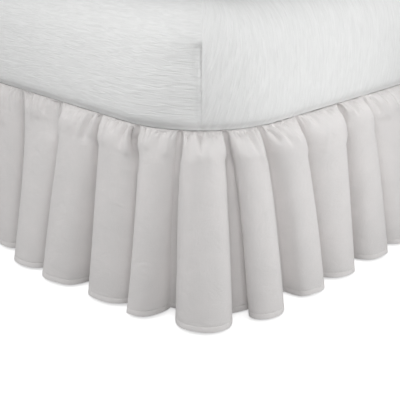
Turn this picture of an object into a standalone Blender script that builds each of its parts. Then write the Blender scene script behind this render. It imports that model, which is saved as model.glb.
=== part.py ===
"""A ruffled bed skirt on a plain twin bed.

The skirt is a flat deck that lies on the box spring, with a gathered ruffle sewn round its two long
sides and its foot. The ruffle is cut as four panels, seamed end to end in the valleys of its folds.
The bed under and over it is plain: a box spring on six legs, and a mattress that holds the deck down.
Metres, +Z up, the foot of the bed towards -Y, the origin on the floor under the middle of it all.
"""

import math
import random
from collections import namedtuple

import bmesh
import bpy
from mathutils import Vector

# The skirt: a twin deck of 39 by 75 inches and a drop of 14 inches.
DECK_WIDTH = 0.991
DECK_LENGTH = 1.905
DECK_THICKNESS = 0.002
DECK_HEAD_RADIUS = 0.012
DROP = 0.356
CORNER_RADIUS = 0.175
CLOTH_THICKNESS = 0.0015
HEM_ABOVE_FLOOR = 0.004
HEM_LIFT = 0.004  # how much higher the hem hangs at the front of a fold
SEAM_SINK = 0.001  # the gathered seam lies this much lower than the deck's top
SEAM_OUT = 0.00105  # from the deck's edge to the middle of the ruffle's cloth
PANEL_GAP = 0.0007  # between two panels, where they are seamed end to end

# The bed.
CLEARANCE = 0.0003  # between two pieces that touch
SPRING_HEIGHT = 0.200
SPRING_INSET = 0.014  # from the deck's edge in to the box spring's side
SPRING_EDGE = 0.006
SPRING_HEAD_RADIUS = 0.030
LEG_RADIUS = 0.030
LEG_INSET = 0.080  # from the deck's edge in to a leg's middle
LEG_SIDES = 20
MATTRESS_HEIGHT = 0.215
MATTRESS_HEAD_RADIUS = 0.070
MATTRESS_TIGHTENING = 0.070  # how much smaller its foot corners' radius is at the top
MATTRESS_ARC_STEPS = 9
ARC_STEPS = 14

DECK_TOP = HEM_ABOVE_FLOOR + DROP
SPRING_TOP = DECK_TOP - DECK_THICKNESS - CLEARANCE
SPRING_BOTTOM = SPRING_TOP - SPRING_HEIGHT

# The ruffle's seam line: down the left side, round the foot and up the right side.
SIDE_RUN = DECK_LENGTH - CORNER_RADIUS
QUARTER_RUN = CORNER_RADIUS * math.pi / 2
FOOT_RUN = DECK_WIDTH - 2 * CORNER_RADIUS
SEAM_LENGTH = 2 * SIDE_RUN + 2 * QUARTER_RUN + FOOT_RUN
RIGHT_CORNER = SIDE_RUN + 1.5 * QUARTER_RUN + FOOT_RUN

# A fold is a rounded lobe that stands out from the seam line. The valley before it starts at seam,
# a place along the line. At the hem its feet are at left and right, and its ridge stands out by
# front, of which it has the share shoulder as soon as it has turned down. Its sides swell past the
# feet, and the valley after it hangs at floor, out from the line.
Fold = namedtuple("Fold", "seam left ridge right front shoulder swell floor")
CORNER_FOLDS = (  # along from the middle of the right-hand corner of the foot
    Fold(-0.481, -0.481, -0.433, -0.369, 0.078, 0.20, 0.010, -0.004),
    Fold(-0.337, -0.360, -0.336, -0.266, 0.073, 0.37, 0.015, 0.000),
    Fold(-0.214, -0.238, -0.208, -0.140, 0.052, 0.47, 0.009, -0.004),
    Fold(-0.114, -0.130, -0.114, -0.063, 0.039, 0.34, 0.008, -0.017),
    Fold(-0.034, -0.049, 0.006, 0.055, 0.057, 0.69, 0.011, -0.007),
    Fold(0.039, 0.097, 0.109, 0.141, 0.049, 0.70, 0.019, -0.005),
    Fold(0.101, 0.195, 0.243, 0.268, 0.050, 0.74, 0.013, -0.002),
    Fold(0.197, 0.287, 0.352, 0.376, 0.051, 0.76, 0.008, -0.007),
    Fold(0.325, 0.407, 0.471, 0.500, 0.053, 0.66, 0.011, -0.003),
    Fold(0.408, 0.516, 0.578, 0.614, 0.050, 0.55, 0.008, -0.006),
)
CORNER_END = (0.550, 0.622)  # at the seam and at the hem
FOLD_PITCH = 0.117
VALLEY_WIDTHS = (0.009, 0.026)
FRONTS = (0.044, 0.066)
SHOULDERS = (0.36, 0.76)
SWELLS = (0.005, 0.012)
FLOORS = (-0.010, 0.000)
UNEVENNESS = 0.16  # of the pitch, by which a fold's ridge and feet wander
SEED = 14

# The cross-section of a fold.
COLUMNS = 11  # from one foot of a fold to the other
LOBE_POWER = 1.0  # 1 is a plain half wave, more is narrower at the ridge and softer at the feet
VALLEY_SHOULDER = 0.004
SHOULDER_DROP = 0.047  # the cloth turns from level to hanging over this height
SHOULDER_SPREAD = 0.17  # of a point's way along the line, from the seam to the hem, is done by then
SPREAD_POWER = 0.8  # the rest is done sooner than evenly
GATHER_SLOPE = 0.75  # a pucker's depth against the spacing of the columns at the seam

# The rows of points from the seam to the hem: the turn of the shoulder in degrees, the share of the
# fall below the shoulder, and how deep the puckers are there.
Row = namedtuple("Row", "turn fall gather")
ROWS = (
    Row(0, 0.0, 0.0),
    Row(30, 0.0, 0.6),
    Row(52, 0.0, 1.0),
    Row(72, 0.0, 0.9),
    Row(90, 0.0, 0.5),
    Row(90, 0.16, 0.12),
    Row(90, 0.50, 0.0),
    Row(90, 1.0, 0.0),
)


def clear_scene():
    for thing in list(bpy.data.objects):
        bpy.data.objects.remove(thing)


def material(name, colour, roughness):
    made = bpy.data.materials.new(name)
    made.use_nodes = True
    shader = made.node_tree.nodes["Principled BSDF"]
    shader.inputs["Base Color"].default_value = (*colour, 1.0)
    shader.inputs["Roughness"].default_value = roughness
    shader.inputs["Metallic"].default_value = 0.0
    return made


def make_object(name, mesh_builder, finish, hard_angle=40):
    """An object with the mesh that mesh_builder holds, smooth but where it turns by hard_angle degrees."""
    mesh = bpy.data.meshes.new(name)
    mesh_builder.to_mesh(mesh)
    mesh_builder.free()
    mesh.shade_smooth()
    mesh.set_sharp_from_angle(angle=math.radians(hard_angle))
    mesh.materials.append(finish)
    made = bpy.data.objects.new(name, mesh)
    bpy.context.scene.collection.objects.link(made)
    return made


def seam_place(along):
    """(point, outward direction) on the seam line, along metres from the head end of the left side."""
    half, foot, radius = DECK_WIDTH / 2, -DECK_LENGTH / 2, CORNER_RADIUS
    if along <= SIDE_RUN:
        return Vector((-half, DECK_LENGTH / 2 - along)), Vector((-1, 0))
    along -= SIDE_RUN
    if along <= QUARTER_RUN:
        turn = along / radius
        outward = Vector((-math.cos(turn), -math.sin(turn)))
        return Vector((radius - half, foot + radius)) + radius * outward, outward
    along -= QUARTER_RUN
    if along <= FOOT_RUN:
        return Vector((radius - half + along, foot)), Vector((0, -1))
    along -= FOOT_RUN
    if along <= QUARTER_RUN:
        turn = along / radius
        outward = Vector((math.sin(turn), -math.cos(turn)))
        return Vector((half - radius, foot + radius)) + radius * outward, outward
    return Vector((half, foot + radius + along - QUARTER_RUN)), Vector((1, 0))


def on_ruffle(along, out, height):
    point, outward = seam_place(min(max(along, 0.0), SEAM_LENGTH))
    return Vector((*(point + out * outward), height))


def spaced(start, end, count):
    return [start + (end - start) * k / count for k in range(count + 1)]


def plain_folds(start, end, wander):
    """Uneven folds that fill a panel from start to end, each a place at the seam and one at the hem."""
    count = round((end[1] - start[1]) / FOLD_PITCH)
    seams, hems = (spaced(start[k], end[k], count) for k in range(2))
    for k in range(1, count):
        hems[k] += wander.uniform(-1, 1) * UNEVENNESS * FOLD_PITCH
        seams[k] += wander.uniform(-1, 1) * UNEVENNESS * FOLD_PITCH
    folds = []
    for seam, before, after in zip(seams, hems[:-1], hems[1:]):
        left = before + wander.uniform(*VALLEY_WIDTHS) / 2
        right = after - wander.uniform(*VALLEY_WIDTHS) / 2
        ridge = (left + right) / 2 + wander.uniform(-1, 1) * UNEVENNESS * FOLD_PITCH
        front, shoulder = wander.uniform(*FRONTS), wander.uniform(*SHOULDERS)
        swell, floor = wander.uniform(*SWELLS), wander.uniform(*FLOORS)
        folds.append(Fold(seam, left, ridge, right, front, shoulder, swell, floor))
    return folds


def ruffle_panels():
    """(start, end, folds) of the four panels, from the head of the left side to that of the right."""
    wander = random.Random(SEED)
    corner = []
    for fold in CORNER_FOLDS:
        seam, left, ridge, right = (RIGHT_CORNER + place for place in fold[:4])
        corner.append(Fold(seam, left, ridge, right, *fold[4:]))
    corner_start = (corner[0].seam, corner[0].left - VALLEY_WIDTHS[0] / 2)
    corner_end = tuple(RIGHT_CORNER + place for place in CORNER_END)
    half_way = tuple(place / 2 for place in corner_start)
    cuts = [(0.0, 0.0), half_way, corner_start, corner_end, (SEAM_LENGTH, SEAM_LENGTH)]
    panels = []
    for number, (start, end) in enumerate(zip(cuts[:-1], cuts[1:])):
        folds = corner if number == 2 else plain_folds(start, end, wander)
        panels.append((start, end, folds))
    return panels


def column_points(at_seam, at_hem, lobe, front, shoulder, floor, pucker):
    """The points down one column of the ruffle. lobe goes from 0 in a valley to 1 on a ridge."""
    out = floor + (front - floor) * lobe
    shoulder = VALLEY_SHOULDER + (shoulder * front - VALLEY_SHOULDER) * lobe
    hem = HEM_ABOVE_FLOOR + HEM_LIFT * lobe
    seam = DECK_TOP - SEAM_SINK
    below = seam - SHOULDER_DROP
    points = []
    for row in ROWS:
        turn = math.radians(row.turn)
        puff = pucker * row.gather * (0.4 + 0.6 * lobe)
        reach = shoulder * math.sin(turn) + (out - shoulder) * row.fall + puff * math.sin(turn)
        height = below + (SHOULDER_DROP - abs(puff)) * math.cos(turn) - (below - hem) * row.fall
        spread = SHOULDER_SPREAD * (1 - math.cos(turn)) + (1 - SHOULDER_SPREAD) * row.fall**SPREAD_POWER
        place = at_seam + (at_hem - at_seam) * spread
        points.append(on_ruffle(place, SEAM_OUT + reach, height))
    return points


def hem_place(fold, share):
    """The place along the line, share of the way over a fold's hem from its left foot to its right."""
    if share < 0.5:
        place = fold.left + (fold.ridge - fold.left) * share * 2
    else:
        place = fold.ridge + (fold.right - fold.ridge) * (share * 2 - 1)
    return place - fold.swell * math.sin(2 * math.pi * share)


def fold_columns(fold, before, after, floor_before):
    """The columns of one fold, between the valleys that start at before and after on the seam."""
    columns = []
    spacing = (after - before) / COLUMNS
    for k in range(COLUMNS):
        share = k / (COLUMNS - 1)
        at_hem = hem_place(fold, share)
        at_seam = before + spacing * (k + 0.5)
        lobe = math.sin(math.pi * share) ** LOBE_POWER
        floor = floor_before if share < 0.5 else fold.floor
        pucker = GATHER_SLOPE * spacing * (1 if k % 2 else -1)
        columns.append(column_points(at_seam, at_hem, lobe, fold.front, fold.shoulder, floor, pucker))
    return columns


def ruffle_panel(name, start, end, folds, finish):
    """One gathered panel: its middle surface column by column, given its thickness by Solidify."""
    start = [place + PANEL_GAP / 2 for place in start]
    end = [place - PANEL_GAP / 2 for place in end]
    floors = [folds[-1].floor] + [fold.floor for fold in folds]
    valleys = [start[0]] + [fold.seam for fold in folds[1:]] + [end[0]]
    columns = [column_points(*start, 0.0, 0.0, 0.0, floors[0], 0)]
    for index, fold in enumerate(folds):
        columns += fold_columns(fold, valleys[index], valleys[index + 1], floors[index])
    columns.append(column_points(*end, 0.0, 0.0, 0.0, floors[-1], 0))

    builder = bmesh.new()
    grid = [[builder.verts.new(point) for point in column] for column in columns]
    for left, right in zip(grid[:-1], grid[1:]):
        for row in range(len(ROWS) - 1):
            builder.faces.new((left[row], left[row + 1], right[row + 1], right[row]))
    made = make_object(name, builder, finish, 90)
    cloth = made.modifiers.new("cloth", "SOLIDIFY")
    cloth.thickness = CLOTH_THICKNESS
    cloth.offset = 0.0
    return made


def rounded_outline(inset, foot_radius, head_radius, arc_steps=ARC_STEPS):
    """The points of the deck's outline moved in by inset, anticlockwise from the foot's right corner."""
    half, end = DECK_WIDTH / 2 - inset, DECK_LENGTH / 2 - inset
    corners = (
        (half - foot_radius, foot_radius - end, foot_radius, -90),
        (half - head_radius, end - head_radius, head_radius, 0),
        (head_radius - half, end - head_radius, head_radius, 90),
        (foot_radius - half, foot_radius - end, foot_radius, 180),
    )
    points = []
    for x, y, radius, first in corners:
        for step in range(arc_steps + 1):
            turn = math.radians(first + 90 * step / arc_steps)
            points.append(Vector((x + radius * math.cos(turn), y + radius * math.sin(turn))))
    return points


def slab(name, outline, bottom, top, finish):
    """A flat piece of that outline, from bottom to top."""
    builder = bmesh.new()
    face = builder.faces.new([builder.verts.new((*point, bottom)) for point in outline])
    face.normal_flip()
    raised = bmesh.ops.extrude_face_region(builder, geom=[face])["geom"]
    lifted = [item for item in raised if isinstance(item, bmesh.types.BMVert)]
    bmesh.ops.translate(builder, verts=lifted, vec=(0, 0, top - bottom))
    bmesh.ops.recalc_face_normals(builder, faces=builder.faces)
    return make_object(name, builder, finish)


def deck(finish):
    outline = rounded_outline(0.0, CORNER_RADIUS, DECK_HEAD_RADIUS)
    return slab("deck", outline, DECK_TOP - DECK_THICKNESS, DECK_TOP, finish)


def box_spring(finish):
    outline = rounded_outline(SPRING_INSET, CORNER_RADIUS - SPRING_INSET, SPRING_HEAD_RADIUS)
    made = slab("box_spring", outline, SPRING_BOTTOM, SPRING_TOP, finish)
    edge = made.modifiers.new("edge", "BEVEL")
    edge.width = SPRING_EDGE
    edge.segments = 2
    edge.limit_method = "ANGLE"
    edge.angle_limit = math.radians(60)
    return made


def leg(name, x, y, finish):
    builder = bmesh.new()
    height = SPRING_BOTTOM - CLEARANCE
    bmesh.ops.create_cone(
        builder,
        cap_ends=True,
        segments=LEG_SIDES,
        radius1=LEG_RADIUS * 0.8,
        radius2=LEG_RADIUS,
        depth=height,
    )
    bmesh.ops.translate(builder, verts=builder.verts, vec=(0, 0, height / 2))
    made = make_object(name, builder, finish)
    made.location = (x, y, 0)
    return made


def legs(finish):
    side, end = DECK_WIDTH / 2 - LEG_INSET, DECK_LENGTH / 2 - LEG_INSET
    for x, side_name in ((-side, "left"), (side, "right")):
        for y, end_name in ((-end, "foot"), (0.0, "middle"), (end, "head")):
            leg(f"leg_{side_name}_{end_name}", x, y, finish)


# The mattress's side, from its flat underside to its top: how far it stands out from the deck's edge,
# and the share of its height.
MATTRESS_PROFILE = (
    (-0.006, 0.0),
    (0.006, 0.014),
    (0.015, 0.065),
    (0.020, 0.16),
    (0.022, 0.32),
    (0.021, 0.50),
    (0.017, 0.66),
    (0.007, 0.80),
    (-0.012, 0.91),
    (-0.038, 0.968),
    (-0.070, 0.992),
    (-0.110, 1.0),
)


def mattress(finish):
    """Rings of the bed's rounded outline, joined into one closed body with a flat underside and top."""
    builder = bmesh.new()
    bottom = DECK_TOP + CLEARANCE
    rings = []
    for out, share in MATTRESS_PROFILE:
        foot_radius = CORNER_RADIUS + out - MATTRESS_TIGHTENING * share
        head_radius = max(MATTRESS_HEAD_RADIUS + out, 0.01)
        height = bottom + share * MATTRESS_HEIGHT
        outline = rounded_outline(-out, max(foot_radius, 0.01), head_radius, MATTRESS_ARC_STEPS)
        rings.append([builder.verts.new((*point, height)) for point in outline])
    for lower, upper in zip(rings[:-1], rings[1:]):
        for k in range(len(lower)):
            after = (k + 1) % len(lower)
            builder.faces.new((lower[k], lower[after], upper[after], upper[k]))
    builder.faces.new(list(reversed(rings[0])))
    builder.faces.new(rings[-1])
    return make_object("mattress", builder, finish)


def stand_on_origin():
    """Moves the bed so that the origin is on the floor under the middle of its bounding box."""
    bpy.context.view_layer.update()
    graph = bpy.context.evaluated_depsgraph_get()
    corners = []
    for thing in bpy.context.scene.objects:
        shown = thing.evaluated_get(graph)
        mesh = shown.to_mesh()
        corners += [shown.matrix_world @ vertex.co for vertex in mesh.vertices]
        shown.to_mesh_clear()
    middle = [
        (min(corner[axis] for corner in corners) + max(corner[axis] for corner in corners)) / 2
        for axis in range(2)
    ]
    for thing in bpy.context.scene.objects:
        thing.location.x -= middle[0]
        thing.location.y -= middle[1]


def build():
    clear_scene()
    white_cotton = material("skirt_cotton", (0.80, 0.79, 0.78), 0.85)
    deck_cotton = material("deck_cotton", (0.78, 0.78, 0.77), 0.9)
    ticking = material("mattress_ticking", (0.84, 0.85, 0.84), 0.85)
    cover = material("box_spring_cover", (0.70, 0.70, 0.69), 0.9)
    wood = material("leg_wood", (0.30, 0.21, 0.14), 0.5)
    deck(deck_cotton)
    for number, panel in enumerate(ruffle_panels(), 1):
        ruffle_panel(f"ruffle_panel_{number}", *panel, white_cotton)
    box_spring(cover)
    legs(wood)
    mattress(ticking)
    stand_on_origin()


build()
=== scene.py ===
# A ruffled bed skirt on a plain twin bed. Metres, +Z up, the foot of the bed towards -Y. The pieces
# follow in the order in which the bed is set up: legs, box spring, deck, ruffle, hem, mattress.
import math
import random
from collections import namedtuple

import bpy
import numpy as np
from mathutils import Matrix, Vector


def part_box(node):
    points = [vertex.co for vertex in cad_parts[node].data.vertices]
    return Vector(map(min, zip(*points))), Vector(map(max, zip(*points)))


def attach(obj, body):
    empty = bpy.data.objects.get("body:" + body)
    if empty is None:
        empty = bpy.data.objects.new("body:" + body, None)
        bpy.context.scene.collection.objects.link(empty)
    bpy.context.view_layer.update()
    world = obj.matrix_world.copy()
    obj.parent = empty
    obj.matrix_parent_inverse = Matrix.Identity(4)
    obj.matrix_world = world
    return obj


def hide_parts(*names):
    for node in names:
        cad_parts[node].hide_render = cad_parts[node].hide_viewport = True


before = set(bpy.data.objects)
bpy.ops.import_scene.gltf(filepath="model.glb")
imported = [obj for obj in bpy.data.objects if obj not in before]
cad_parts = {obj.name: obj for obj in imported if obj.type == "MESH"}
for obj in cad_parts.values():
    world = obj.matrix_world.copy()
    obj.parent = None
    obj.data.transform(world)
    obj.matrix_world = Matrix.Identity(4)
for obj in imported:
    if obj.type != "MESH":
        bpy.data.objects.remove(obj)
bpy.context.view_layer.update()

scene = bpy.context.scene


# ---- The legs: six turned beech legs, tapered and stained brown. Each screws up into the frame of the
# box spring through a thin steel plate, and stands on a felt glide.
LegRing = namedtuple("LegRing", "radius height finish")  # finish of what is above the ring
FELT, WOOD, STEEL = range(3)
LEG_RINGS = (
    LegRing(0.0185, 0.0000, FELT),
    LegRing(0.0200, 0.0008, FELT),
    LegRing(0.0200, 0.0038, FELT),
    LegRing(0.0196, 0.0040, WOOD),
    LegRing(0.0222, 0.0042, WOOD),
    LegRing(0.0236, 0.0052, WOOD),
    LegRing(0.0242, 0.0075, WOOD),
    LegRing(0.0262, 0.0600, WOOD),
    LegRing(0.0282, 0.1120, WOOD),
    LegRing(0.0293, 0.1440, WOOD),
    LegRing(0.0292, 0.1490, WOOD),
    LegRing(0.0286, 0.1512, WOOD),
    LegRing(0.0276, 0.1520, STEEL),
    LegRing(0.0292, 0.1522, STEEL),
    LegRing(0.0295, 0.1530, STEEL),
    LegRing(0.0295, 0.1566, STEEL),
    LegRing(0.0290, 0.1574, STEEL),
)
LEG_SIDES = 40
LEG_NODES = sorted(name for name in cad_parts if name.startswith("leg_"))


def new_material(name):
    """A new material, its node tree and its Principled shader."""
    made = bpy.data.materials.new(name)
    made.use_nodes = True
    return made, made.node_tree, made.node_tree.nodes["Principled BSDF"]


def feed(node, inputs):
    """Sets a node's inputs, each to a value or to another node's output."""
    for key, value in inputs.items():
        if isinstance(value, bpy.types.NodeSocket):
            node.id_data.links.new(value, node.inputs[key])
        else:
            node.inputs[key].default_value = value


def add_node(tree, kind, inputs=(), **settings):
    """Adds a node with its settings, and its inputs as feed sets them."""
    node = tree.nodes.new(kind)
    for name, value in settings.items():
        setattr(node, name, value)
    feed(node, dict(inputs))
    return node


def noise(tree, place, scale, detail, distortion=0.0):
    """Noise over a place, with about scale waves to each unit of it."""
    inputs = {"Vector": place, "Scale": scale, "Detail": detail, "Distortion": distortion}
    return add_node(tree, "ShaderNodeTexNoise", inputs).outputs[0]


def calculated(tree, operation, *values):
    """What a Math node makes of the values."""
    return add_node(tree, "ShaderNodeMath", dict(enumerate(values)), operation=operation).outputs[0]


def ranged(tree, value, low, high, start=0.0, stop=1.0):
    """Goes from low to high as the value goes from start to stop."""
    inputs = {0: value, 1: start, 2: stop, 3: low, 4: high}
    return add_node(tree, "ShaderNodeMapRange", inputs).outputs[0]


def colours(tree, share, low, high):
    """A colour that goes from low to high with share."""
    inputs = {0: share, 6: (*low, 1), 7: (*high, 1)}
    return add_node(tree, "ShaderNodeMix", inputs, data_type="RGBA").outputs[2]


def bumped(tree, height, strength, depth):
    """Normals bumped by a height, which is that deep in metres."""
    inputs = {"Height": height, "Strength": strength, "Distance": depth}
    return add_node(tree, "ShaderNodeBump", inputs).outputs[0]


def new_piece(name, points, faces, *finishes, smooth=True):
    """A mesh object at the origin, from its points and faces, with those materials."""
    mesh = bpy.data.meshes.new(name)
    mesh.from_pydata([tuple(point) for point in points], [], [tuple(face) for face in faces])
    mesh.validate()
    if smooth:
        mesh.shade_smooth()
    for finish in finishes:
        mesh.materials.append(finish)
    made = bpy.data.objects.new(name, mesh)
    scene.collection.objects.link(made)
    return made


leg_felt, tree, shader = new_material("leg felt")
place = add_node(tree, "ShaderNodeTexCoord").outputs["Object"]
fuzz = noise(tree, place, 900, 4)
feed(shader, {
    "Base Color": colours(tree, fuzz, (0.05, 0.045, 0.04), (0.12, 0.11, 0.10)),
    "Roughness": 0.95,
    "Normal": bumped(tree, fuzz, 0.5, 0.0006),
})

leg_wood, tree, shader = new_material("leg wood")
place = add_node(tree, "ShaderNodeTexCoord").outputs["Object"]
along = add_node(tree, "ShaderNodeMapping", {"Vector": place, "Scale": (1, 1, 0.06)}).outputs[0]
grain, rings = noise(tree, along, 260, 6, 0.6), noise(tree, along, 45, 3, 1.5)
share = ranged(tree, calculated(tree, "MULTIPLY", grain, rings), 0.0, 1.0, 0.15, 0.40)
feed(shader, {
    "Base Color": colours(tree, share, (0.13, 0.075, 0.042), (0.33, 0.21, 0.125)),
    "Roughness": ranged(tree, grain, 0.34, 0.55),
    "Normal": bumped(tree, grain, 0.25, 0.0004),
    "Coat Weight": 0.25,
})

leg_steel, tree, shader = new_material("leg plate steel")
place = add_node(tree, "ShaderNodeTexCoord").outputs["Object"]
scuffs = noise(tree, place, 160, 5)
feed(shader, {
    "Base Color": colours(tree, scuffs, (0.42, 0.42, 0.42), (0.62, 0.61, 0.60)),
    "Roughness": ranged(tree, scuffs, 0.28, 0.5),
    "Metallic": 1.0,
})

points, faces, finishes = [], [], []
turns = [2 * math.pi * k / LEG_SIDES for k in range(LEG_SIDES)]
for node in LEG_NODES:
    low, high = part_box(node)
    middle, first = (low + high) / 2, len(points)
    for ring in LEG_RINGS:
        height = min(ring.height, high.z)
        for turn in turns:
            x, y = middle.x + ring.radius * math.cos(turn), middle.y + ring.radius * math.sin(turn)
            points.append((x, y, height))
    for level, ring in enumerate(LEG_RINGS[:-1]):
        start = first + level * LEG_SIDES
        for k in range(LEG_SIDES):
            here, after = start + k, start + (k + 1) % LEG_SIDES
            faces.append((here, after, after + LEG_SIDES, here + LEG_SIDES))
            finishes.append(ring.finish)
    top = first + (len(LEG_RINGS) - 1) * LEG_SIDES
    faces += [[first + k for k in reversed(range(LEG_SIDES))], [top + k for k in range(LEG_SIDES)]]
    finishes += [FELT, STEEL]
legs = new_piece("turned_legs", points, faces, leg_felt, leg_wood, leg_steel)
legs.data.polygons.foreach_set("material_index", finishes)
legs.data.set_sharp_from_angle(angle=math.radians(40))
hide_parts(*LEG_NODES)
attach(legs, "root")


# ---- The box spring: a wooden frame of slats and springs, padded and covered in a woven cloth. The
# cloth's edges are bound with piping at the top and the bottom, and a thin dark cloth closes the base.
DECK_LOW, DECK_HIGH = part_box("deck")
BED_MIDDLE = np.array(((DECK_LOW + DECK_HIGH) / 2)[:2])
HALF_WIDTH, HALF_LENGTH = (DECK_HIGH.x - DECK_LOW.x) / 2, (DECK_HIGH.y - DECK_LOW.y) / 2
CORNER_RADIUS = 0.175
SPRING_INSET = 0.014
SPRING_HEAD_RADIUS = 0.030
LEAST_RADIUS = 0.004  # of its head corners, however far in a ring is
SPRING_RINGS = (  # out from the box spring's side, and the height over its base
    (-0.0500, 0.0000), (-0.0090, 0.0000), (-0.0060, 0.0002), (-0.0028, 0.0012), (-0.0008, 0.0030),
    (-0.0002, 0.0052), (-0.0010, 0.0076), (-0.0030, 0.0092), (-0.0040, 0.0098), (-0.0036, 0.0106),
    (-0.0020, 0.0160), (-0.0006, 0.0400), (0.0000, 0.0800), (0.0000, 0.1200), (-0.0006, 0.1600),
    (-0.0020, 0.1840), (-0.0036, 0.1894), (-0.0040, 0.1902), (-0.0030, 0.1908), (-0.0010, 0.1924),
    (-0.0002, 0.1948), (-0.0008, 0.1970), (-0.0028, 0.1988), (-0.0060, 0.1996), (-0.0090, 0.1999),
    (-0.0500, 0.2000),
)
ARC_STEPS, SIDE_STEPS, END_STEPS = 24, 60, 30


def bed_ring(out, foot_radius, head_radius, near_seam=0.0):
    """Once round the bed, anticlockwise from the foot's right corner: the points, where each lies on
    the cloth of an end face and on that of a side face, and whether the run after it is an end's.
    near_seam draws the points towards the middles of the corners, where a seam may be."""
    points, on_end, on_side, is_end = [], [], [], []
    half, end = HALF_WIDTH + out, HALF_LENGTH + out
    corners = (
        (half - foot_radius, foot_radius - end, foot_radius, -90, 1),
        (half - head_radius, end - head_radius, head_radius, 0, 1),
        (head_radius - half, end - head_radius, head_radius, 90, -1),
        (foot_radius - half, foot_radius - end, foot_radius, 180, -1),
    )
    for index, (x, y, radius, first, side) in enumerate(corners):
        from_an_end = index % 2 == 0
        for step in range(ARC_STEPS + 1):
            share = step / ARC_STEPS
            share -= near_seam * math.sin(4 * math.pi * share) / (4 * math.pi)
            turn, away = math.radians(first + 90 * share), math.radians(90 * share)
            points.append((x + radius * math.cos(turn), y + radius * math.sin(turn)))
            from_end, from_side = (away, math.pi / 2 - away) if from_an_end else (math.pi / 2 - away, away)
            on_end.append(x + side * CORNER_RADIUS * from_end)
            on_side.append(y + math.copysign(CORNER_RADIUS, y) * from_side)
            is_end.append(from_an_end == (step < ARC_STEPS / 2))
        after = corners[(index + 1) % 4]
        turn = math.radians(first + 90)
        start = np.array((x + radius * math.cos(turn), y + radius * math.sin(turn)))
        stop = np.array((after[0] + after[2] * math.cos(turn), after[1] + after[2] * math.sin(turn)))
        steps = SIDE_STEPS if from_an_end else END_STEPS
        for step in range(1, steps):
            point = start + (stop - start) * step / steps
            points.append(tuple(point))
            on_end.append(point[0])
            on_side.append(point[1])
            is_end.append(not from_an_end)
    return np.array(points), np.array(on_end), np.array(on_side), np.array(is_end)


def map_cloth(made, flat):
    """Gives a piece its cloth map: metres on the flat cloth, for each corner of each face."""
    cloth = made.data.uv_layers.new(name="cloth")
    cloth.data.foreach_set("uv", np.array(flat, dtype=np.float32).ravel())


def ringed_body(name, rings, heights, downs, *finishes):
    """A closed body of rings round the bed, from its base up, with a cloth map: on the ends and the
    sides the map runs on down from the top's, so that a weave turns over the edge unbroken."""
    count, levels = len(rings[0][0]), len(rings)
    levelled = [np.column_stack((BED_MIDDLE + ring[0], np.full(count, z))) for ring, z in zip(rings, heights)]
    faces, flat = [], []
    for level in range(levels - 1):
        for k in range(count):
            after = (k + 1) % count
            around = ((k, level), (after, level), (after, level + 1), (k, level + 1))
            faces.append([row * count + column for column, row in around])
            for column, row in around:
                _, on_end, on_side, is_end = rings[row]
                x, y = rings[-1][0][column]
                if is_end[k]:
                    flat.append((on_end[column], math.copysign(abs(y) + downs[row], y)))
                else:
                    flat.append((math.copysign(abs(x) + downs[row], x), on_side[column]))
    forwards, backwards = range(count), range(count)[::-1]
    faces += [list(backwards), [(levels - 1) * count + k for k in forwards]]
    flat += [tuple(rings[0][0][k]) for k in backwards] + [tuple(rings[-1][0][k]) for k in forwards]
    made = new_piece(name, np.concatenate(levelled), faces, *finishes)
    map_cloth(made, flat)
    return made


def arc_lengths(outs, heights):
    """How far down the cloth each ring is from the last one."""
    steps = np.hypot(np.diff(outs), np.diff(heights))
    return np.concatenate(([0.0], np.cumsum(steps[::-1])))[::-1]


# Plain weave, with painted shade in its hollows, and the faint clouds and thick threads that break up plain
# cotton cloth.
plain_weave = bpy.data.node_groups.new("plain weave", "ShaderNodeTree")
for name, in_out, kind in (
    ("Cloth", "INPUT", "NodeSocketVector"),
    ("Thread", "INPUT", "NodeSocketFloat"),
    ("Height", "OUTPUT", "NodeSocketFloat"),
    ("Shade", "OUTPUT", "NodeSocketFloat"),
    ("Clouds", "OUTPUT", "NodeSocketFloat"),
):
    plain_weave.interface.new_socket(name, in_out=in_out, socket_type=kind)
given, result = plain_weave.nodes.new("NodeGroupInput"), plain_weave.nodes.new("NodeGroupOutput")
cloth = given.outputs["Cloth"]
turns = calculated(plain_weave, "DIVIDE", math.pi, given.outputs["Thread"])
inputs = {0: cloth, "Scale": turns}
scaled = add_node(plain_weave, "ShaderNodeVectorMath", inputs, operation="SCALE").outputs[0]
axes = add_node(plain_weave, "ShaderNodeSeparateXYZ", {0: scaled})
waves = [calculated(plain_weave, "COSINE", axes.outputs[k]) for k in range(2)]
crossings = calculated(plain_weave, "MULTIPLY", *waves)
threads = []
for scale in ((40, 1400, 1), (1400, 40, 1)):
    streaks = add_node(plain_weave, "ShaderNodeMapping", {"Vector": cloth, "Scale": scale}).outputs[0]
    threads.append(noise(plain_weave, streaks, 1.0, 2))
height = calculated(plain_weave, "MULTIPLY_ADD", crossings, 0.35, calculated(plain_weave, "ADD", *threads))
# Shade is lighter where the weave stands high and darker in its hollows: painted shade of its relief,
# together with the thick threads' own tone.
feed(result, {
    "Height": height,
    "Shade": ranged(plain_weave, height, 0.0, 1.0, 0.5, 1.5),
    "Clouds": ranged(plain_weave, noise(plain_weave, cloth, 16, 4), 0.0, 1.0, 0.3, 0.7),
})


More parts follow.
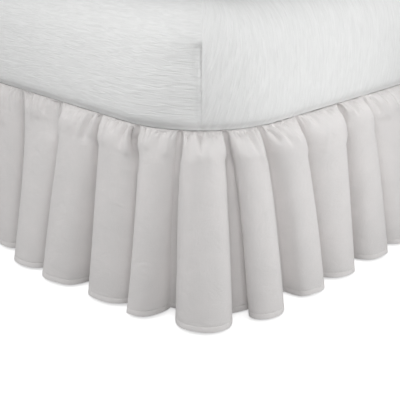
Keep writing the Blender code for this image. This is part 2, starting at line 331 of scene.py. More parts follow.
def woven(name, dark, light, thread, depth, roughness, sheen):
    """A plainly woven cloth's material, whose weave follows the piece's cloth map, with its tree,
    shader, cloth map, colour and the normals of its weave."""
    made, tree, shader = new_material(name)
    cloth = add_node(tree, "ShaderNodeUVMap", uv_map="cloth").outputs[0]
    inputs = {"Cloth": cloth, "Thread": thread}
    weave = add_node(tree, "ShaderNodeGroup", inputs, node_tree=plain_weave).outputs
    # The colour takes the weave's Shade, which is painted shade in its hollows and the thick threads' tone,
    # mixed with random clouds.
    weave_shade_and_slub_tone = calculated(tree, "MULTIPLY", weave["Shade"], 0.45)
    colour = colours(tree, calculated(tree, "MULTIPLY_ADD", weave["Clouds"], 0.55, weave_shade_and_slub_tone), dark, light)
    normals = bumped(tree, weave["Height"], 0.5, depth)
    feed(shader, {
        "Base Color": colour,
        "Roughness": ranged(tree, weave["Clouds"], roughness - 0.05, roughness + 0.05),
        "Normal": normals,
        "Sheen Weight": sheen,
        "Sheen Roughness": 0.5,
        "Specular IOR Level": 0.25,
    })
    return made, tree, shader, cloth, colour, normals


spring_cloth = woven(
    "box spring cloth", (0.52, 0.52, 0.52), (0.64, 0.64, 0.63),
    thread=0.0009, depth=0.0005, roughness=0.9, sheen=0.1,
)[0]
base_cloth = woven(
    "box spring base cloth", (0.03, 0.03, 0.032), (0.06, 0.06, 0.065),
    thread=0.0012, depth=0.0005, roughness=0.95, sheen=0.0,
)[0]
spring_low, spring_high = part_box("box_spring")
outs, heights = np.array(SPRING_RINGS).T
heights = heights * (spring_high.z - spring_low.z) / SPRING_RINGS[-1][1]
rings = []
for out in outs:
    head_radius = max(SPRING_HEAD_RADIUS + out, LEAST_RADIUS)
    rings.append(bed_ring(out - SPRING_INSET, CORNER_RADIUS - SPRING_INSET + out, head_radius))
downs = arc_lengths(outs, heights)
box_spring = ringed_body("box_spring_covered", rings, spring_low.z + heights, downs, spring_cloth, base_cloth)
for face in box_spring.data.polygons:
    face.material_index = 1 if face.normal.z < -0.9 else 0
box_spring.data.set_sharp_from_angle(angle=math.radians(50))
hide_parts("box_spring")
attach(box_spring, "root")


# ---- The deck: one flat rectangle of plain cotton that lies on the box spring, with rounded foot
# corners and a narrow hem at the head. The ruffle hangs from its other three edges.
DECK_CLOTH = 0.0010
DECK_WRINKLE = 0.00025
DECK_HEAD_RADIUS = 0.012
DECK_ROWS, DECK_COLUMNS = 150, 90


def cut_back(radius, into):
    """How far in a rounded corner's edge is, at a way into the corner."""
    return radius - math.sqrt(max(radius**2 - into**2, 0)) if into > 0 else 0.0


def grid_faces(rows, columns):
    """The faces between the points of a grid, which are counted row by row."""
    at = np.arange(rows * columns).reshape(rows, columns)
    return np.stack((at[:-1, :-1], at[:-1, 1:], at[1:, 1:], at[1:, :-1]), axis=-1).reshape(-1, 4)


def face_corners(made):
    """Which point each corner of each face is."""
    corners = np.empty(len(made.data.loops), np.int32)
    made.data.loops.foreach_get("vertex_index", corners)
    return corners


deck_cotton = woven(
    "deck cotton", (0.70, 0.70, 0.69), (0.80, 0.80, 0.79),
    thread=0.0005, depth=0.0003, roughness=0.88, sheen=0.1,
)[0]
points, flat = [], []
for row in range(DECK_ROWS + 1):
    share = row / DECK_ROWS
    share -= 0.9 * math.sin(2 * math.pi * share) / (2 * math.pi)  # closer rows where the corners turn
    y = -HALF_LENGTH + 2 * HALF_LENGTH * share
    half = HALF_WIDTH - cut_back(CORNER_RADIUS, CORNER_RADIUS - HALF_LENGTH - y)
    half -= cut_back(DECK_HEAD_RADIUS, y - (HALF_LENGTH - DECK_HEAD_RADIUS))
    for column in range(DECK_COLUMNS + 1):
        x = half * (2 * column / DECK_COLUMNS - 1)
        wrinkle = math.sin(7 * x + 5 * math.sin(2.1 * y)) * math.sin(4.3 * y + 3 * math.sin(3 * x))
        height = (DECK_LOW.z + DECK_HIGH.z) / 2 + DECK_WRINKLE * wrinkle
        points.append((BED_MIDDLE[0] + x, BED_MIDDLE[1] + y, height))
        flat.append((x, y))
deck = new_piece("deck_cloth", points, grid_faces(DECK_ROWS + 1, DECK_COLUMNS + 1), deck_cotton)
map_cloth(deck, np.array(flat)[face_corners(deck)])
thickness = deck.modifiers.new("cloth", "SOLIDIFY")
thickness.thickness, thickness.offset = DECK_CLOTH, 0.0
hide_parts("deck")
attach(deck, "root")


# ---- The ruffle: four panels of plain white cotton, seamed end to end, gathered on a thread along
# their top edge and sewn round the deck. They hang to just off the floor in deep uneven folds.
DECK_TOP = DECK_HIGH.z
HEM_ABOVE_FLOOR = 0.004
HEM_LIFT = 0.004  # how much higher the hem hangs at the front of a fold
HEM_WAVER = 0.0009  # how far it wavers up and down
WAVER_TURNS, WAVER_DRIFT = 61, 23  # radians to a metre of hem
HEM_HEIGHT = 0.012
SEAM_SINK = 0.001  # the gathered seam lies this much lower than the deck's top
SEAM_OUT = 0.00105  # from the deck's edge to the outer face of the ruffle's cloth
PANEL_GAP = 0.0007
CUT_LENGTH = 0.372  # of the ruffle's cloth, from the gathered edge to the hem
CLOTH_THICKNESS = 0.0011
SIDE_RUN = 2 * HALF_LENGTH - CORNER_RADIUS
QUARTER_RUN = CORNER_RADIUS * math.pi / 2
FOOT_RUN = 2 * (HALF_WIDTH - CORNER_RADIUS)
SEAM_LENGTH = 2 * SIDE_RUN + 2 * QUARTER_RUN + FOOT_RUN
RIGHT_CORNER = SIDE_RUN + 1.5 * QUARTER_RUN + FOOT_RUN

# A fold is a rounded lobe that stands out from the seam line. The valley before it starts at seam,
# a place along the line. At the hem its feet are at left and right, and its ridge stands out by
# front, of which it has the share shoulder as soon as it has turned down. Its sides swell past the
# feet, the valley after it hangs at floor, out from the line, and its left foot may be tucked under it.
Fold = namedtuple("Fold", "seam left ridge right front shoulder swell floor tuck", defaults=(0.0,))
CORNER_FOLDS = (  # along from the middle of the right-hand corner of the foot
    Fold(-0.481, -0.478, -0.434, -0.369, 0.078, 0.15, 0.010, -0.004),
    Fold(-0.338, -0.360, -0.336, -0.267, 0.073, 0.36, 0.014, 0.000),
    Fold(-0.214, -0.235, -0.210, -0.139, 0.052, 0.48, 0.007, -0.004),
    Fold(-0.115, -0.127, -0.118, -0.068, 0.042, 0.34, 0.002, -0.022),
    Fold(-0.034, -0.049, 0.006, 0.055, 0.058, 0.74, 0.008, -0.005),
    Fold(0.038, 0.043, 0.120, 0.171, 0.050, 0.60, -0.004, -0.005, 0.060),
    Fold(0.101, 0.197, 0.242, 0.265, 0.049, 0.74, 0.013, -0.002),
    Fold(0.197, 0.289, 0.352, 0.374, 0.051, 0.76, 0.006, -0.007),
    Fold(0.324, 0.412, 0.468, 0.499, 0.053, 0.66, 0.011, -0.003),
    Fold(0.407, 0.516, 0.578, 0.614, 0.050, 0.55, 0.008, -0.006),
)
CORNER_END = (0.550, 0.622)  # at the seam and at the hem
CORNER_PANEL = 3  # of the four, from the head of the left side
FOLD_PITCH = 0.117
VALLEY_WIDTHS = (0.009, 0.026)
FRONTS = (0.044, 0.066)
SHOULDERS = (0.36, 0.76)
SWELLS = (0.005, 0.012)
FLOORS = (-0.010, 0.000)
UNEVENNESS = 0.16
SEED = 14

# The cross-section of a fold, from its foot over its ridge, and how it changes on the way down.
LOBE_AT_SEAM, LOBE_AT_HEM = 0.42, 0.60  # 1 is a plain half wave, less has a flatter front
LOBE_CHANGE = 0.8  # below 1, the shape changes early in the fall
VALLEY_SHARE, FOLD_SHARE = 0.035, 0.93  # of a fold's run of the seam: at each end, and between them
VALLEY_SHOULDER = -0.003  # how far out a valley is once it has turned down
SHOULDER_DROP = 0.047  # from the seam to where the cloth has turned down
SHOULDER_SPREAD, SPREAD_POWER = 0.17, 0.8  # the shoulder's share of the way along to the hem's place
TUCK_CURVE = 1.5  # above 1, the tuck keeps nearer to the fold's foot
FOLD_STEPS, VALLEY_STEPS = 88, 6
STEP_CLOSENESS = 0.03  # of the steps at a fold's feet and ridge
ROWS = (  # the degrees turned down over the shoulder, and the share of the fall below it
    [(90 * k / 18, 0.0) for k in range(18)]
    + [(90, 0.018 * k) for k in range(8)]
    + [(90, 0.144 + (0.950 - 0.144) * k / 12) for k in range(12)]
    + [(90, fall) for fall in (0.950, 0.957, 0.9615, 0.9640, 0.9665, 0.974, 0.985, 0.994, 0.9985, 1.0)]
)
STITCH_ROW = ROWS.index((90, 0.9640))
# How far the rows at the hem stand out: drawn in at the stitches, plump where the cloth is folded.
HEM_RELIEF = np.zeros(len(ROWS))
HEM_RELIEF[STITCH_ROW - 1 : STITCH_ROW + 5] = (-0.0002, -0.0005, -0.0002, 0.0000, 0.0002, 0.0001)
HEM_RIPPLE, RIPPLE_DRIFT = 0.0021, 0.013  # metres of hem to a radian

# The gathers are small creases that run down from the seam and die out in the top of the ruffle.
# These ones are listed one by one round the corner, along from its middle; the rest are scattered.
Crease = namedtuple("Crease", "seam lean length width depth")  # a ridge has a depth below 0
CORNER_CREASES = (
    Crease(-0.463, 0.00, 0.030, 0.0034, 0.0078),
    Crease(-0.452, -0.10, 0.034, 0.0050, 0.0076),
    Crease(-0.438, -0.10, 0.040, 0.0030, 0.0057),
    Crease(-0.425, -0.10, 0.060, 0.0060, -0.0043),
    Crease(-0.413, -0.10, 0.032, 0.0026, 0.0057),
    Crease(-0.400, -0.10, 0.050, 0.0060, -0.0037),
    Crease(-0.388, 0.00, 0.036, 0.0030, 0.0062),
    Crease(-0.362, 0.05, 0.080, 0.0110, 0.0090),
    Crease(-0.347, 0.05, 0.036, 0.0035, -0.0043),
    Crease(-0.322, -0.10, 0.030, 0.0026, 0.0057),
    Crease(-0.312, -0.10, 0.070, 0.0060, -0.0043),
    Crease(-0.302, -0.15, 0.028, 0.0026, 0.0057),
    Crease(-0.291, -0.15, 0.034, 0.0029, 0.0065),
    Crease(-0.272, -0.10, 0.050, 0.0070, -0.0037),
    Crease(-0.258, -0.02, 0.062, 0.0031, 0.0050),
    Crease(-0.249, 0.00, 0.060, 0.0050, -0.0043),
    Crease(-0.238, -0.05, 0.066, 0.0060, 0.0134),
    Crease(-0.227, 0.00, 0.052, 0.0045, -0.0064),
    Crease(-0.203, 0.00, 0.058, 0.0050, -0.0057),
    Crease(-0.192, 0.02, 0.046, 0.0038, 0.0078),
    Crease(-0.180, -0.05, 0.026, 0.0026, 0.0050),
    Crease(-0.171, 0.00, 0.060, 0.0060, -0.0034),
    Crease(-0.160, 0.00, 0.030, 0.0026, 0.0054),
    Crease(-0.140, 0.05, 0.052, 0.0031, 0.0088),
    Crease(-0.129, 0.05, 0.062, 0.0055, -0.0057),
    Crease(-0.126, 0.22, 0.085, 0.0029, 0.0155),
    Crease(-0.110, 0.02, 0.050, 0.0045, -0.0043),
    Crease(-0.100, 0.05, 0.030, 0.0029, 0.0057),
    Crease(-0.088, 0.05, 0.042, 0.0050, -0.0037),
    Crease(-0.066, 0.00, 0.054, 0.0110, 0.0062),
    Crease(-0.052, 0.02, 0.050, 0.0050, -0.0048),
    Crease(-0.022, -0.02, 0.056, 0.0060, 0.0050),
    Crease(-0.012, 0.20, 0.066, 0.0034, -0.0038),
    Crease(-0.002, 0.05, 0.050, 0.0034, 0.0078),
    Crease(0.007, 0.02, 0.062, 0.0032, -0.0052),
    Crease(0.017, 0.05, 0.036, 0.0060, 0.0060),
    Crease(0.031, 0.05, 0.052, 0.0040, -0.0057),
    Crease(0.050, 0.05, 0.056, 0.0040, -0.0043),
    Crease(0.064, 0.05, 0.054, 0.0100, 0.0054),
    Crease(0.076, 0.05, 0.050, 0.0026, 0.0078),
    Crease(0.082, 0.05, 0.085, 0.0034, -0.0072),
    Crease(0.090, 0.05, 0.050, 0.0026, 0.0098),
    Crease(0.096, 0.05, 0.060, 0.0026, -0.0057),
    Crease(0.112, 0.20, 0.042, 0.0034, 0.0088),
    Crease(0.122, 0.20, 0.040, 0.0034, -0.0043),
    Crease(0.131, 0.15, 0.056, 0.0034, 0.0088),
    Crease(0.146, 0.15, 0.060, 0.0045, -0.0052),
    Crease(0.158, 0.12, 0.040, 0.0034, 0.0073),
    Crease(0.170, 0.10, 0.085, 0.0060, -0.0057),
    Crease(0.180, 0.10, 0.042, 0.0029, 0.0078),
    Crease(0.189, 0.10, 0.060, 0.0036, -0.0057),
    Crease(0.214, 0.00, 0.030, 0.0034, -0.0043),
    Crease(0.228, 0.00, 0.046, 0.0080, 0.0044),
    Crease(0.262, -0.40, 0.110, 0.0040, -0.0025),
    Crease(0.278, -0.10, 0.036, 0.0034, 0.0053),
    Crease(0.288, 0.05, 0.040, 0.0029, 0.0065),
    Crease(0.299, 0.10, 0.090, 0.0050, -0.0072),
    Crease(0.309, 0.10, 0.056, 0.0027, 0.0088),
    Crease(0.319, 0.10, 0.070, 0.0036, -0.0066),
    Crease(0.327, 0.05, 0.040, 0.0026, 0.0078),
    Crease(0.341, 0.10, 0.040, 0.0030, -0.0052),
    Crease(0.348, 0.10, 0.040, 0.0024, 0.0085),
    Crease(0.356, 0.10, 0.034, 0.0028, -0.0048),
    Crease(0.364, 0.10, 0.032, 0.0026, 0.0070),
    Crease(0.382, 0.15, 0.085, 0.0055, -0.0066),
    Crease(0.394, 0.10, 0.050, 0.0029, 0.0085),
    Crease(0.404, 0.10, 0.070, 0.0040, -0.0066),
    Crease(0.430, 0.10, 0.050, 0.0034, 0.0078),
    Crease(0.446, 0.10, 0.070, 0.0050, -0.0057),
    Crease(0.462, 0.10, 0.040, 0.0029, 0.0070),
    Crease(0.480, 0.10, 0.060, 0.0046, -0.0048),
    Crease(0.497, 0.05, 0.045, 0.0031, 0.0070),
    Crease(0.520, 0.05, 0.060, 0.0050, -0.0043),
)
CREASE_SPACING = (0.008, 0.022)
CREASE_LENGTHS = (0.036, 0.095)
CREASE_WIDTHS = (0.0028, 0.0062)
CREASE_DEPTHS = (0.0040, 0.0085)
CREASE_LEAN = 0.15
SHORT_BIAS = 1.6  # above 1, more creases are short than long
CREASE_STARTS = 0.004  # the way down over which a crease deepens
CREASE_WIDENING = 0.09  # the way down over which a crease grows twice as wide
CREASE_FADE, CREASE_SHARPNESS = 0.8, 1.5
RIDGES = 0.45  # the share of the creases that stand out as ridges
RIDGE_DEPTH = -0.7  # times a crease's
PUFF_BLUNTNESS, PUFF_RISE = 6, 0.7  # of a ridge along its length
PUCKER_SPACING = (0.0055, 0.0105)
PUCKER_LENGTHS = (0.012, 0.034)
PUCKER_WIDTHS = (0.0015, 0.0024)
PUCKER_DEPTHS = (0.0020, 0.0046)
VALLEY_CREASE = Crease(0.0, 0.0, 0.085, 0.0026, 0.0040)  # where two folds meet
SEAMED_WAY = 0.008  # over which the dents fade towards a panel's ends
WRINKLES, WRINKLE_DEPTH = 14, 0.017  # how many waves, and how deep for their length
WRINKLE_LENGTHS, WRINKLE_LEAN = (0.03, 0.11), 0.35
WRINKLES_START = 0.03  # the way down over which they deepen
CRUMPLES, CRUMPLE_DEPTH = (24, 34, 1), 0.0018  # to a metre across and up the cloth
STITCH_PROUD = 0.0002  # from the cloth's face to the middle of a stitch


def seam_line(along):
    """The points and outward directions at places along the ruffle's seam, from the left side's head."""
    along = np.clip(along, 0.0, SEAM_LENGTH)
    turn = np.clip((along - SIDE_RUN) / CORNER_RADIUS, 0, math.pi / 2)
    turn = turn + np.clip((along - SIDE_RUN - QUARTER_RUN - FOOT_RUN) / CORNER_RADIUS, 0, math.pi / 2)
    outward = np.stack((-np.cos(turn), -np.sin(turn)), axis=-1)
    up_left, up_right = np.clip(SIDE_RUN - along, 0, None), np.clip(along - SEAM_LENGTH + SIDE_RUN, 0, None)
    x = CORNER_RADIUS - HALF_WIDTH + np.clip(along - SIDE_RUN - QUARTER_RUN, 0, FOOT_RUN)
    y = CORNER_RADIUS - HALF_LENGTH + up_left + up_right
    return BED_MIDDLE + np.stack((x, y), axis=-1) + CORNER_RADIUS * outward, outward


def spaced(start, end, count):
    return [start + (end - start) * k / count for k in range(count + 1)]


def plain_folds(start, end, wander):
    """Uneven folds that fill a panel from start to end, each a place at the seam and one at the hem."""
    count = round((end[1] - start[1]) / FOLD_PITCH)
    seams, hems = (spaced(start[k], end[k], count) for k in range(2))
    for k in range(1, count):
        hems[k] += wander.uniform(-1, 1) * UNEVENNESS * FOLD_PITCH
        seams[k] += wander.uniform(-1, 1) * UNEVENNESS * FOLD_PITCH
    folds = []
    for seam, before, after in zip(seams, hems[:-1], hems[1:]):
        left = before + wander.uniform(*VALLEY_WIDTHS) / 2
        right = after - wander.uniform(*VALLEY_WIDTHS) / 2
        ridge = (left + right) / 2 + wander.uniform(-1, 1) * UNEVENNESS * FOLD_PITCH
        front, shoulder = wander.uniform(*FRONTS), wander.uniform(*SHOULDERS)
        swell, floor = wander.uniform(*SWELLS), wander.uniform(*FLOORS)
        folds.append(Fold(seam, left, ridge, right, front, shoulder, swell, floor))
    return folds


def ruffle_panels():
    """(start, end, folds) of the four panels, from the head of the left side to that of the right."""
    wander = random.Random(SEED)
    corner = [Fold(*(RIGHT_CORNER + place for place in fold[:4]), *fold[4:]) for fold in CORNER_FOLDS]
    corner_start = (corner[0].seam, corner[0].left - VALLEY_WIDTHS[0] / 2)
    corner_end = tuple(RIGHT_CORNER + place for place in CORNER_END)
    half_way = tuple(place / 2 for place in corner_start)
    cuts = [(0.0, 0.0), half_way, corner_start, corner_end, (SEAM_LENGTH, SEAM_LENGTH)]
    return [
        (start, end, corner if number == CORNER_PANEL else plain_folds(start, end, wander))
        for number, (start, end) in enumerate(zip(cuts[:-1], cuts[1:]), 1)
    ]


def fold_columns(start, end, folds):
    """The columns of a panel: each one's place at the seam and at the hem, its share of the way over
    its fold, and that fold's front, shoulder and valley floor."""
    floors = [folds[-1].floor] + [fold.floor for fold in folds]
    valleys = [start[0]] + [fold.seam for fold in folds[1:]] + [end[0]]
    columns = [(start[0], start[1], 0.0, 0.0, 0.0, floors[0])]
    for index, fold in enumerate(folds):
        width = valleys[index + 1] - valleys[index]
        for step in range(FOLD_STEPS + 1):
            share = step / FOLD_STEPS
            share -= STEP_CLOSENESS * math.sin(4 * math.pi * share)
            if share < 0.5:
                at_hem, floor = fold.left + (fold.ridge - fold.left) * share * 2, floors[index]
                tuck = fold.tuck * (1 - math.sin(math.pi * share) ** LOBE_AT_HEM) ** TUCK_CURVE
            else:
                at_hem, floor = fold.ridge + (fold.right - fold.ridge) * (share * 2 - 1), fold.floor
                tuck = 0.0
            at_hem = at_hem - fold.swell * math.sin(2 * math.pi * share) + tuck
            at_seam = valleys[index] + width * (VALLEY_SHARE + FOLD_SHARE * share)
            columns.append((at_seam, at_hem, share, fold.front, fold.shoulder, floor))
        if index + 1 < len(folds):
            seam, hem = columns[-1][:2]
            next_seam = valleys[index + 1] + (valleys[index + 2] - valleys[index + 1]) * VALLEY_SHARE
            next_hem = folds[index + 1].left + folds[index + 1].tuck
            for step in range(1, VALLEY_STEPS):
                way = step / VALLEY_STEPS
                at_seam, at_hem = seam + (next_seam - seam) * way, hem + (next_hem - hem) * way
                columns.append((at_seam, at_hem, 0.0, 0.0, 0.0, fold.floor))
    columns.append((end[0], end[1], 0.0, 0.0, 0.0, floors[-1]))
    return np.array(columns)


def scattered(start, end, wander, spacing, lengths, widths, depths, ridges):
    """Creases from start to end along the seam, with uneven sizes."""
    creases, along = [], start
    while along < end:
        along += wander.uniform(*spacing)
        length = lengths[0] + (lengths[1] - lengths[0]) * wander.uniform(0, 1) ** SHORT_BIAS
        depth = wander.uniform(*depths) * (RIDGE_DEPTH if wander.uniform(0, 1) < ridges else 1)
        lean = wander.uniform(-1, 1) * CREASE_LEAN
        creases.append(Crease(along, lean, length, wander.uniform(*widths), depth))
    return creases


def dents(creases, at_seam, down):
    """How deep the creases dent the cloth at each point, by its place at the seam and way down it."""
    dent = np.zeros(down.shape)
    for crease in creases:
        width = crease.width * (1 + down / CREASE_WIDENING)
        away = np.abs(at_seam - crease.seam - crease.lean * down) / width
        way = np.clip(down / crease.length, 0, 1)
        if crease.depth > 0:
            fade = (1 - way**2) ** CREASE_FADE * np.clip(down / CREASE_STARTS, 0, 1)
        else:  # a ridge puffs out more and more, and ends bluntly
            fade = (1 - way**PUFF_BLUNTNESS) * way**PUFF_RISE
        dent += crease.depth * np.exp(-(away**CREASE_SHARPNESS)) * fade
    return dent


def wrinkles(across, down, wander):
    """Faint long waves that keep the hanging cloth from being perfectly smooth."""
    height = np.zeros(np.broadcast(across, down).shape)
    for _ in range(WRINKLES):
        length, phase = wander.uniform(*WRINKLE_LENGTHS), wander.uniform(0, 6.28)
        lean = wander.uniform(-WRINKLE_LEAN, WRINKLE_LEAN)
        height += np.sin(2 * math.pi * (across + lean * down) / length + phase) * length
    return WRINKLE_DEPTH * (height / WRINKLES) * np.clip(down / WRINKLES_START, 0, 1)


skirt_cotton, tree, shader, cloth, colour, normals = woven(
    "skirt cotton", (0.765, 0.748, 0.740), (0.842, 0.814, 0.806),
    thread=0.0005, depth=0.0003, roughness=0.85, sheen=0.3,
)
up = add_node(tree, "ShaderNodeSeparateXYZ", {0: cloth}).outputs[1]
in_hem = ranged(tree, up, 0.0, 1.0, HEM_HEIGHT + 0.0006, HEM_HEIGHT - 0.0006)
hemmed = {0: in_hem, 6: colour, 7: (0.835, 0.812, 0.804, 1)}  # two plies are a little brighter
feed(shader, {"Base Color": add_node(tree, "ShaderNodeMix", hemmed, data_type="RGBA").outputs[2]})

# Faint crumples, finer than the mesh.
finely = add_node(tree, "ShaderNodeMapping", {"Vector": cloth, "Scale": CRUMPLES}).outputs[0]
crumpled = bumped(tree, noise(tree, finely, 1.0, 3, 0.9), 0.9, CRUMPLE_DEPTH)
feed(normals.node, {"Normal": crumpled})

panels = []
turn, fall = np.radians([row[0] for row in ROWS]), np.array([row[1] for row in ROWS])
for number, (start, end, folds) in enumerate(ruffle_panels(), 1):
    wander = random.Random(SEED * 10 + number)
    start = [place + PANEL_GAP / 2 for place in start]
    end = [place - PANEL_GAP / 2 for place in end]
    at_seam, at_hem, share, front, shoulder, floor = fold_columns(start, end, folds).T[:, :, None]
    wave = np.clip(np.sin(math.pi * share), 0, 1)
    lobe = wave ** (LOBE_AT_SEAM + (LOBE_AT_HEM - LOBE_AT_SEAM) * fall**LOBE_CHANGE)
    out = floor + (front - floor) * lobe
    shoulder = VALLEY_SHOULDER + (shoulder * front - VALLEY_SHOULDER) * lobe
    hem = HEM_ABOVE_FLOOR + HEM_LIFT * lobe[:, -1:]
    hem = hem + HEM_WAVER * np.sin(WAVER_TURNS * at_hem + 3 * np.sin(WAVER_DRIFT * at_hem))
    below = DECK_TOP - SEAM_SINK - SHOULDER_DROP
    reach = SEAM_OUT + shoulder * np.sin(turn) * (1 - fall) + out * fall
    height = below + SHOULDER_DROP * np.cos(turn) - (below - hem) * fall
    spread = SHOULDER_SPREAD * (1 - np.cos(turn)) + (1 - SHOULDER_SPREAD) * fall**SPREAD_POWER
    place, outward = seam_line(at_seam + (at_hem - at_seam) * spread)
    grid = np.concatenate((place + reach[..., None] * outward, height[..., None]), axis=-1)

    # Dent it with the gathers and the wrinkles, along its own normals.
    facing = np.cross(np.gradient(grid, axis=1), np.gradient(grid, axis=0))
    facing /= np.linalg.norm(facing, axis=-1, keepdims=True) + 1e-12
    facing *= np.sign((facing[..., :2] * outward).sum(-1).mean())
    steps = np.linalg.norm(np.diff(grid, axis=1), axis=-1)
    down = np.concatenate((np.zeros((len(grid), 1)), np.cumsum(steps, axis=1)), axis=1)
    hem_steps = np.linalg.norm(np.diff(grid[:, -1], axis=0), axis=-1)
    across = np.concatenate(([0.0], np.cumsum(hem_steps)))[:, None]
    creases = [VALLEY_CREASE._replace(seam=fold.seam) for fold in folds[1:]]
    if number == CORNER_PANEL:
        creases += [crease._replace(seam=RIGHT_CORNER + crease.seam) for crease in CORNER_CREASES]
    else:
        sizes = (CREASE_SPACING, CREASE_LENGTHS, CREASE_WIDTHS, CREASE_DEPTHS, RIDGES)
        creases += scattered(start[0], end[0], wander, *sizes)
    sizes = (PUCKER_SPACING, PUCKER_LENGTHS, PUCKER_WIDTHS, PUCKER_DEPTHS, 0.0)
    creases += scattered(start[0], end[0], wander, *sizes)
    dent = wrinkles(across, down, wander) - dents(creases, at_seam, down)
    dent += HEM_RELIEF * (1 + 0.5 * np.sin(across / HEM_RIPPLE + 3 * np.sin(across / RIPPLE_DRIFT)))
    inside = np.clip(np.minimum(at_seam - start[0], end[0] - at_seam) / SEAMED_WAY, 0, 1)
    grid = grid + facing * (dent * inside)[..., None]

    # The cloth map: metres across the cut cloth, and metres up from the hem.
    up = CUT_LENGTH * (1 - down / down[:, -1:])
    flat = np.stack((np.broadcast_to(across, up.shape), up), axis=-1).reshape(-1, 2)
    panel = new_piece(f"ruffle_{number}", grid.reshape(-1, 3), grid_faces(*up.shape), skirt_cotton)
    map_cloth(panel, flat[face_corners(panel)])
    plies = panel.vertex_groups.new(name="plies")
    in_hem = np.flatnonzero(flat[:, 1] < HEM_HEIGHT + 0.0002)
    plies.add([int(v) for v in in_hem], 1.0, "REPLACE")
    thickness = panel.modifiers.new("cloth", "SOLIDIFY")
    thickness.thickness, thickness.offset = 2 * CLOTH_THICKNESS, -1.0
    thickness.vertex_group, thickness.thickness_vertex_group = "plies", 0.5
    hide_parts(f"ruffle_panel_{number}")
    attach(panel, "root")
    stitch_line = grid[:, STITCH_ROW] + facing[:, STITCH_ROW] * STITCH_PROUD
    panels.append((panel, float(across[-1, 0]), stitch_line))


# ---- The hem stitching: one row of lockstitches in white cotton thread along the top of each panel's
# turned hem. Every stitch is a short plump length of thread, and a few lie a little askew.
STITCH_PITCH, STITCH_LENGTH, STITCH_WIDTH = 0.0034, 0.0027, 0.0008
STITCH_ASKEW = math.radians(7)

hem_thread, tree, shader = new_material("hem thread")
place = add_node(tree, "ShaderNodeTexCoord").outputs["Object"]
fuzz = noise(tree, place, 1500, 3)
feed(shader, {
    "Base Color": colours(tree, fuzz, (0.72, 0.70, 0.69), (0.86, 0.84, 0.83)),
    "Roughness": ranged(tree, fuzz, 0.7, 0.9),
    "Normal": bumped(tree, fuzz, 0.5, 0.0002),
})

lockstitches = bpy.data.node_groups.new("row of lockstitches", "GeometryNodeTree")
lockstitches.interface.new_socket("Geometry", in_out="INPUT", socket_type="NodeSocketGeometry")
for name, kind, start in (
    ("Pitch", "NodeSocketFloat", STITCH_PITCH),
    ("Length", "NodeSocketFloat", STITCH_LENGTH),
    ("Width", "NodeSocketFloat", STITCH_WIDTH),
    ("Askew", "NodeSocketFloat", STITCH_ASKEW),
    ("Seed", "NodeSocketInt", SEED),
):
    lockstitches.interface.new_socket(name, in_out="INPUT", socket_type=kind).default_value = start
lockstitches.interface.new_socket("Geometry", in_out="OUTPUT", socket_type="NodeSocketGeometry")
given, result = lockstitches.nodes.new("NodeGroupInput"), lockstitches.nodes.new("NodeGroupOutput")
sockets = ("Pitch", "Length", "Width", "Askew", "Seed")
pitch, length, width, askew, seed = (given.outputs[name] for name in sockets)


def sewn(kind, inputs=(), output=0, **settings):
    """Adds a node to the row of lockstitches, and gives one of its outputs."""
    return add_node(lockstitches, kind, inputs, **settings).outputs[output]


row = sewn("GeometryNodeMeshToCurve", {"Mesh": given.outputs["Geometry"]})
spots = sewn("GeometryNodeResampleCurve", {"Curve": row, "Length": pitch}, mode="LENGTH")
along = sewn("FunctionNodeAlignRotationToVector", {"Vector": sewn("GeometryNodeInputTangent")}, axis="X")
least = sewn("ShaderNodeMath", {0: askew, 1: -1.0}, operation="MULTIPLY")
angle = sewn("FunctionNodeRandomValue", {2: least, 3: askew, "Seed": seed}, output=1)
tilt = sewn("FunctionNodeAxisAngleToRotation", {"Axis": (0, 1, 0), "Angle": angle})
along = sewn("FunctionNodeRotateRotation", {0: along, 1: tilt}, rotation_space="LOCAL")
plump = sewn("GeometryNodeMeshIcoSphere", {"Radius": 0.5, "Subdivisions": 1})
plump = sewn("GeometryNodeSetShadeSmooth", {0: plump})
sizes = sewn("ShaderNodeCombineXYZ", {0: length, 1: width, 2: width})
placing = {"Points": spots, "Instance": plump, "Rotation": along, "Scale": sizes}
stitched = sewn("GeometryNodeRealizeInstances", {0: sewn("GeometryNodeInstanceOnPoints", placing)})
feed(result, {0: sewn("GeometryNodeSetMaterial", {"Geometry": stitched, "Material": hem_thread})})
inputs = {item.name: item.identifier for item in lockstitches.interface.items_tree if item.in_out == "INPUT"}

for number, (panel, flat_width, stitch_line) in enumerate(panels, 1):
    row = new_piece("stitch row", stitch_line, (), smooth=False)
    row.data.edges.add(len(stitch_line) - 1)
    row.data.edges.foreach_set("vertices", [end for k in range(len(stitch_line) - 1) for end in (k, k + 1)])
    row.data.update()
    sewing = row.modifiers.new("lockstitches", "NODES")
    sewing.node_group = lockstitches
    sewing[inputs["Seed"]] = SEED + number
    bpy.context.view_layer.update()
    mesh = bpy.data.meshes.new_from_object(row.evaluated_get(bpy.context.evaluated_depsgraph_get()))
    stitches = bpy.data.objects.new(f"hem_stitches_{number}", mesh)
    scene.collection.objects.link(stitches)
    bpy.data.objects.remove(row)
    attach(stitches, "root")


# ---- The mattress: foam in a plain knitted cover with fine ribs that run across the bed. The cover's
# side and end panels meet in a lapped seam up each corner, which ends before the top turns in.
MATTRESS_HEAD_RADIUS = 0.070
MATTRESS_TIGHTENING = 0.070  # how much smaller its foot corners' radius is at the top
MATTRESS_PROFILE = (  # out from the deck's edge, and the share of the height
    (-0.012, 0.0), (-0.003, 0.0), (0.0045, 0.006), (0.0085, 0.028), (0.0165, 0.075), (0.0202, 0.16),
    (0.022, 0.32), (0.021, 0.50), (0.017, 0.66), (0.007, 0.80), (-0.012, 0.91), (-0.038, 0.968),
    (-0.070, 0.992), (-0.110, 1.0),
)
MATTRESS_TOP = ((-0.20, 1.0), (-0.32, 1.0), (-0.42, 1.0))  # the rings on its flat top
MATTRESS_LEAST_RADIUS = 0.01
PROFILE_STEPS = 8
